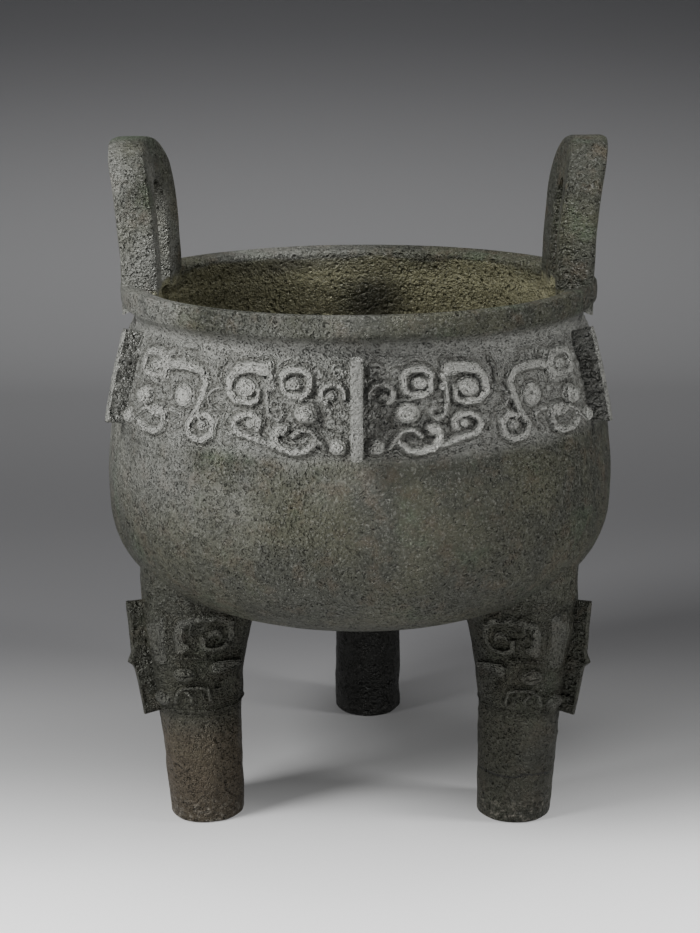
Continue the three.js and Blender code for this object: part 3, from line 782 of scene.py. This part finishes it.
cast_together(ding, fittings)
surface_values(ding.data)
ding.data.shade_smooth()
ding.data.set_sharp_from_angle(angle=math.radians(48))


# -------- the bronze's patina, and painted light
# Tin bronze turned dark grey-green in the ground: olive and brown stains, a thin grey bloom,
# fine pits left by the casting and corrosion, pale wear on raised edges, dirt in the cuts.
# Painted light as well: a painted sheen on the left shoulder, painted shade on the lower belly
# and the legs, and the back leg painted near black for its shade.
def add(tree, kind, **settings):
    """A node of the tree with its properties and socket values set by name or number."""
    made = tree.nodes.new(kind)
    for key, value in settings.items():
        if key.startswith("in_"):
            slot = key[3:].replace("_", " ")
            made.inputs[int(slot) if slot.isdigit() else slot].default_value = value
        else:
            setattr(made, key, value)
    return made


def new_group(name, inputs, outputs):
    """An empty shader group with its sockets: name, kind and starting value of each."""
    group = bpy.data.node_groups.new(name, "ShaderNodeTree")
    for label, kind, value in inputs:
        socket = group.interface.new_socket(label, in_out="INPUT", socket_type=kind)
        if value is not None:
            socket.default_value = value
    for label, kind in outputs:
        group.interface.new_socket(label, in_out="OUTPUT", socket_type=kind)
    return group, group.nodes.new("NodeGroupInput"), group.nodes.new("NodeGroupOutput")


def stain_group():
    """Patches: noise of a given scale, pushed to a mask with soft borders about a threshold."""
    group, given, result = new_group("stain", [
        ("Vector", "NodeSocketVector", None), ("Scale", "NodeSocketFloat", 10.0),
        ("From", "NodeSocketFloat", 0.45), ("To", "NodeSocketFloat", 0.65)], [("Mask", "NodeSocketFloat")])
    noise = add(group, "ShaderNodeTexNoise", in_Detail=5.0, in_Roughness=0.62)
    ramp = add(group, "ShaderNodeMapRange", interpolation_type="SMOOTHSTEP")
    group.links.new(given.outputs["Vector"], noise.inputs["Vector"])
    group.links.new(given.outputs["Scale"], noise.inputs["Scale"])
    group.links.new(noise.outputs["Fac"], ramp.inputs["Value"])
    group.links.new(given.outputs["From"], ramp.inputs["From Min"])
    group.links.new(given.outputs["To"], ramp.inputs["From Max"])
    group.links.new(ramp.outputs["Result"], result.inputs["Mask"])
    return group


def pitting_group():
    """Cast grain: small round pits where a cell's middle is near, over a fine uneven grain. Gives
    the height and a mask of the pits."""
    group, given, result = new_group("pitting", [
        ("Vector", "NodeSocketVector", None), ("Scale", "NodeSocketFloat", 300.0)],
        [("Height", "NodeSocketFloat"), ("Pits", "NodeSocketFloat")])
    cell = add(group, "ShaderNodeTexVoronoi", feature="SMOOTH_F1", in_Smoothness=0.35, in_Randomness=1.0)
    grain = add(group, "ShaderNodeTexNoise", in_Detail=4.0, in_Roughness=0.6)
    pits = add(group, "ShaderNodeMapRange", interpolation_type="SMOOTHSTEP", in_1=0.12, in_2=0.42)
    both = add(group, "ShaderNodeMath", operation="MULTIPLY_ADD", in_1=0.8)
    for texture in (cell, grain):
        for label in ("Vector", "Scale"):
            group.links.new(given.outputs[label], texture.inputs[label])
    group.links.new(cell.outputs["Distance"], pits.inputs["Value"])
    group.links.new(grain.outputs["Fac"], both.inputs[0])
    group.links.new(pits.outputs["Result"], both.inputs[2])
    group.links.new(both.outputs["Value"], result.inputs["Height"])
    group.links.new(pits.outputs["Result"], result.inputs["Pits"])
    return group


class Finish:
    """A material under construction: each method adds a layer of its node tree."""

    def __init__(self, name):
        self.material = bpy.data.materials.new(name)
        self.material.use_nodes = True
        self.tree = self.material.node_tree
        self.shader = self.tree.nodes["Principled BSDF"]
        self.where = add(self.tree, "ShaderNodeTexCoord").outputs["Object"]

    def link(self, source, target):
        self.tree.links.new(source, target)

    def group(self, group, **values):
        made = add(self.tree, "ShaderNodeGroup", node_tree=group)
        for key, value in values.items():
            made.inputs[key].default_value = value
        self.link(self.where, made.inputs["Vector"])
        return made

    def value(self, name):
        return add(self.tree, "ShaderNodeAttribute", attribute_name=name).outputs["Fac"]

    def ramp(self, source, low, high, to_low=0.0, to_high=1.0):
        made = add(self.tree, "ShaderNodeMapRange", interpolation_type="SMOOTHSTEP",
                   in_1=low, in_2=high, in_3=to_low, in_4=to_high)
        self.link(source, made.inputs["Value"])
        return made.outputs["Result"]

    def stain(self, scale, low, high):
        """A mask of patches: noise of the scale, going from 0 to 1 between low and high."""
        return self.group(STAIN, Scale=scale, From=low, To=high).outputs["Mask"]

    def both(self, one, two):
        """Where two masks meet: their product."""
        return self.math("MULTIPLY", one, two)

    def math(self, operation, one, two=0.0):
        made = add(self.tree, "ShaderNodeMath", operation=operation)
        for slot, value in enumerate((one, two)):
            if isinstance(value, (int, float)):
                made.inputs[slot].default_value = value
            else:
                self.link(value, made.inputs[slot])
        return made.outputs["Value"]

    def paint(self, under, colour, mask, amount=1.0):
        """Lays a colour over what is under it, by a mask times an amount."""
        made = add(self.tree, "ShaderNodeMix", data_type="RGBA")
        self.link(self.both(mask, amount), made.inputs["Factor"])
        for slot, value in (("A", under), ("B", colour)):
            socket = [i for i in made.inputs if i.name == slot and i.type == "RGBA"][0]
            if isinstance(value, tuple):
                socket.default_value = (*value, 1.0)
            else:
                self.link(value, socket)
        return [o for o in made.outputs if o.type == "RGBA"][0]

    def near(self, place, inner, outer):
        """1 within inner metres of a place, falling to 0 at outer."""
        made = add(self.tree, "ShaderNodeVectorMath", operation="DISTANCE", in_1=place)
        self.link(self.where, made.inputs[0])
        return self.ramp(made.outputs["Value"], inner, outer, 1.0, 0.0)


STAIN = stain_group()
PITTING = pitting_group()
DARK_BRONZE = (0.040, 0.042, 0.031)
OLIVE_BRONZE = (0.064, 0.065, 0.042)
BROWN_STAIN = (0.085, 0.062, 0.038)
GREEN_STAIN = (0.060, 0.085, 0.050)
# grey bloom on the frieze, and on the left shoulder a painted sheen
GREY_BLOOM_AND_SHEEN = (0.230, 0.232, 0.215)
PALE_WEAR = (0.420, 0.420, 0.390)
DIRT = (0.030, 0.028, 0.018)
BOWL_OLIVE = (0.230, 0.222, 0.130)
# near black: soot for the smudge and the crack, and painted shade on the back leg
SOOT_AND_SHADE = (0.014, 0.014, 0.013)
# painted shade for the lower belly and the legs under it
UNDERSIDE_SHADE = (0.026, 0.026, 0.019)
EARTH = (0.260, 0.240, 0.200)
SMUDGE = (0.02, 0.29, 0.60)  # places and lengths from here on are metres
GREEN_SPOT = (-0.30, 0.03, 0.85)
CRACK_HEIGHT = 0.064
CRACK_WAVER = 0.005
LINE_PITCH = 2.7  # millimetres, as the carving's values are


def body_colour(f, x, z, bowl_side):
    """The ground colour and its stains, grey bloom with a painted sheen on the left shoulder, and the
    bowl's inside.
    """
    colour = f.paint(DARK_BRONZE, OLIVE_BRONZE, f.stain(9.0, 0.42, 0.62))
    colour = f.paint(colour, BROWN_STAIN, f.stain(34.0, 0.50, 0.68), 0.45)
    colour = f.paint(colour, GREEN_STAIN, f.stain(14.0, 0.55, 0.70), 0.5)
    # painted sheen: the upper belly's left side, which faces the main light, is made lighter grey
    shoulder = f.both(f.ramp(z, 0.36, 0.50), f.ramp(x, 0.12, -0.12))
    colour = f.paint(colour, GREY_BLOOM_AND_SHEEN, f.both(f.stain(6.0, 0.38, 0.62), shoulder), 0.55)
    colour = f.paint(colour, BOWL_OLIVE, bowl_side, 0.8)
    return f.paint(colour, SOOT_AND_SHADE, f.both(f.near(SMUDGE, 0.01, 0.075), bowl_side), 0.75)


def carving_colour(f, colour, z, edge, bowl_side):
    """Bloom over the frieze's height, pale wear on what is raised and dirt along its foot."""
    band = f.both(f.ramp(z, 0.505, 0.53), f.ramp(z, 0.655, 0.635))
    colour = f.paint(colour, GREY_BLOOM_AND_SHEEN, f.both(band, f.ramp(bowl_side, 0.5, 0.0)), 0.85)
    raised = f.both(f.ramp(f.value("carved_height"), 1.5, 4.5), f.ramp(edge, -0.2, -1.6))
    raised = f.both(raised, f.ramp(z, 0.33, 0.40, 0.35, 1.0))
    colour = f.paint(colour, PALE_WEAR, raised, 0.62)
    cut = f.both(f.ramp(edge, -0.5, 1.2), f.ramp(edge, 4.5, 2.0))
    colour = f.paint(colour, DIRT, cut, 0.42)
    return f.paint(colour, PALE_WEAR, f.stain(330.0, 0.52, 0.66), 0.22)


def leg_colour(f, colour, x, y, z):
    """Painted shade, darker on the lower belly and again towards the feet, brown low on the left leg,
    earth on the feet, painted near-black shade on the back leg, and the right leg's crack, a thin dark
    line that wavers with the blotches."""
    # painted shade: the lower belly, facing down, and the legs beneath it are painted darker
    colour = f.paint(colour, UNDERSIDE_SHADE, f.ramp(z, 0.50, 0.34), 0.38)
    colour = f.paint(colour, UNDERSIDE_SHADE, f.ramp(z, 0.33, 0.24), 0.45)
    low_left = f.both(f.ramp(z, 0.16, 0.10), f.ramp(x, -0.05, -0.12))
    colour = f.paint(colour, BROWN_STAIN, low_left, 0.55)
    crust = f.both(f.ramp(z, 0.055, 0.0), f.stain(150.0, 0.50, 0.62))
    colour = f.paint(colour, EARTH, crust, 0.5)
    # painted shade: the back leg, in shade under the bowl, is painted near black
    back_leg_shade = f.both(f.ramp(z, 0.27, 0.24), f.ramp(y, 0.1, 0.15))
    colour = f.paint(colour, SOOT_AND_SHADE, back_leg_shade, 0.93)
    waver = f.both(f.stain(34.0, 0.50, 0.68), CRACK_WAVER)
    off_crack = f.math("ABSOLUTE", f.math("SUBTRACT", f.math("SUBTRACT", z, waver), CRACK_HEIGHT))
    crack = f.both(f.ramp(off_crack, 0.0017, 0.0007), f.ramp(x, 0.08, 0.12))
    colour = f.paint(colour, GREEN_STAIN, f.near(GREEN_SPOT, 0.02, 0.06), 0.7)
    return f.paint(colour, SOOT_AND_SHADE, crack, 0.85)


def grain(f, edge, pits):
    """Three layers of bumps: fine lines beside the carving, broad lumps, and pits."""
    lines = f.math("SINE", f.math("MULTIPLY", edge, 2 * math.pi / LINE_PITCH))
    beside = f.both(f.ramp(edge, -9.0, -7.0), f.ramp(edge, 13.0, 10.0))
    lumps = f.group(PITTING, Scale=110.0)
    layers = ((f.both(lines, beside), 0.75, 0.0013), (lumps.outputs["Height"], 0.9, 0.006),
              (pits.outputs["Height"], 1.0, 0.0042))
    under = None
    for height, strength, distance in layers:
        bump = add(f.tree, "ShaderNodeBump", in_Strength=strength, in_Distance=distance)
        f.link(height, bump.inputs["Height"])
        if under:
            f.link(under, bump.inputs["Normal"])
        under = bump.outputs["Normal"]
    return under


def bronze():
    """The casting's patina and painted light: its colours, then its gloss, then its grain."""
    f = Finish("patinated_bronze")
    axes = add(f.tree, "ShaderNodeSeparateXYZ")
    f.link(f.where, axes.inputs[0])
    x, y, z = axes.outputs
    edge, bowl_side = f.value("carved_edge"), f.value("bowl_inside")
    colour = body_colour(f, x, z, bowl_side)
    colour = carving_colour(f, colour, z, edge, bowl_side)
    colour = leg_colour(f, colour, x, y, z)
    pits = f.group(PITTING, Scale=290.0)
    colour = f.paint(colour, DIRT, f.ramp(pits.outputs["Pits"], 0.35, 0.0), 0.35)
    f.link(colour, f.shader.inputs["Base Color"])
    f.link(f.ramp(f.stain(60.0, 0.3, 0.7), 0.0, 1.0, 0.38, 0.56), f.shader.inputs["Roughness"])
    f.shader.inputs["Metallic"].default_value = 0.5
    f.link(grain(f, edge, pits), f.shader.inputs["Normal"])
    return f.material


ding.data.materials.clear()
ding.data.materials.append(bronze())
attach(ding, "root")
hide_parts("ding_vessel")


# -------- floor, light and camera
# A sheet of pale paper that runs back and curves up into a wall, with light and shade painted on
# it: painted light and a glow in front, a painted shadow under and behind the vessel, and painted
# shade making the wall grey. Four soft lights: the main one high on the left, a weak low one there,
# one overhead, one on the right.
FRONT_GLOW = 0.44  # light that the sheet's front gives off itself
def paper():
    """The sheet: level from the front back to the curve, a quarter circle, then upright."""
    back, curve, half, top, front = 2.4, 1.2, 6.0, 5.0, -3.2
    turn = np.linspace(0, math.pi / 2, 24)
    flat = np.stack([np.linspace(front, back, 30, endpoint=False), np.zeros(30)], 1)
    bend = np.stack([back + curve * np.sin(turn), curve - curve * np.cos(turn)], 1)
    path = np.concatenate([flat, bend, [[back + curve, top]]])
    across = np.linspace(-half, half, 9)
    places = np.empty((len(path), len(across), 3))
    places[..., 0] = across
    places[..., 1:] = path[:, None]
    r, k = np.meshgrid(np.arange(len(path) - 1), np.arange(len(across) - 1), indexing="ij")
    a = r * len(across) + k
    quads = np.stack([a, a + 1, a + 1 + len(across), a + len(across)], 2).reshape(-1, 4)
    sheet = to_mesh("paper", places.reshape(-1, 3) * 1000, quads, np.empty((0, 3), int))
    sheet.data.shade_smooth()
    return sheet


def paper_finish():
    f = Finish("paper_painted_light_and_shade")
    axes = add(f.tree, "ShaderNodeSeparateXYZ")
    f.link(f.where, axes.inputs[0])
    # painted light: the sheet is lightest in front
    colour = f.paint((0.86, 0.86, 0.86), (0.30, 0.30, 0.30), f.ramp(axes.outputs[1], -0.55, 0.05))
    # painted shadow: a dark band under and behind the vessel
    colour = f.paint(colour, (0.10, 0.10, 0.103), f.ramp(axes.outputs[1], -0.15, 0.60))
    # painted light: lighter again farther back
    colour = f.paint(colour, (0.30, 0.30, 0.305), f.ramp(axes.outputs[1], 1.1, 3.1))
    # painted shade: the wall darker towards the top
    colour = f.paint(colour, (0.09, 0.09, 0.095), f.ramp(axes.outputs[2], 0.2, 1.1))
    f.link(colour, f.shader.inputs["Base Color"])
    glow = f.paint((0.0, 0.0, 0.0), (1.0, 1.0, 1.0), f.ramp(axes.outputs[1], 0.15, -0.45))
    f.link(glow, f.shader.inputs["Emission Color"])
    f.shader.inputs["Emission Strength"].default_value = FRONT_GLOW
    f.shader.inputs["Roughness"].default_value = 0.95
    return f.material


floor = paper()
floor.data.materials.append(paper_finish())


def soft_light(name, place, aim, size, power):
    """A soft box at a place, turned to face its aim: size is its width and height."""
    lamp = bpy.data.lights.new(name, "AREA")
    lamp.shape = "RECTANGLE"
    lamp.size, lamp.size_y = size
    lamp.energy = power
    box = bpy.data.objects.new(name, lamp)
    bpy.context.scene.collection.objects.link(box)
    away = np.array(place) - np.array(aim)
    pitch = math.atan2(math.hypot(away[0], away[1]), away[2])
    heading = math.atan2(away[1], away[0]) + math.pi / 2
    box.location = place
    box.rotation_euler = (pitch, 0, heading)


soft_light("key", (-2.0, -1.1, 2.5), (0, 0, 0.55), (0.8, 0.8), 120)
soft_light("low_left", (-2.5, -1.3, 1.25), (0, 0, 0.3), (0.5, 0.5), 30)
soft_light("overhead", (0.1, 0.4, 2.7), (0, 0, 0.5), (1.6, 1.2), 30)
soft_light("right_edge", (2.1, -0.5, 1.7), (0, 0, 0.6), (0.4, 1.0), 40)

world = bpy.data.worlds.new("studio")
world.use_nodes = True
background = world.node_tree.nodes["Background"]
background.inputs["Color"].default_value = (0.5, 0.5, 0.52, 1)
background.inputs["Strength"].default_value = 0.10
bpy.context.scene.world = world

CAMERA_PLACE = (-0.0122, -2.2249, 1.0116)
CAMERA_PITCH = 14.72  # degrees below the level
CAMERA_ROLL = -0.38
lens = bpy.data.cameras.new("camera")
lens.sensor_width = 36.0
lens.lens = 68.1
camera = bpy.data.objects.new("camera", lens)
camera.matrix_world = (Matrix.Translation(CAMERA_PLACE)
                       @ Matrix.Rotation(math.radians(90 - CAMERA_PITCH), 4, "X")
                       @ Matrix.Rotation(math.radians(CAMERA_ROLL), 4, "Z"))
bpy.context.scene.collection.objects.link(camera)
bpy.context.scene.camera = camera
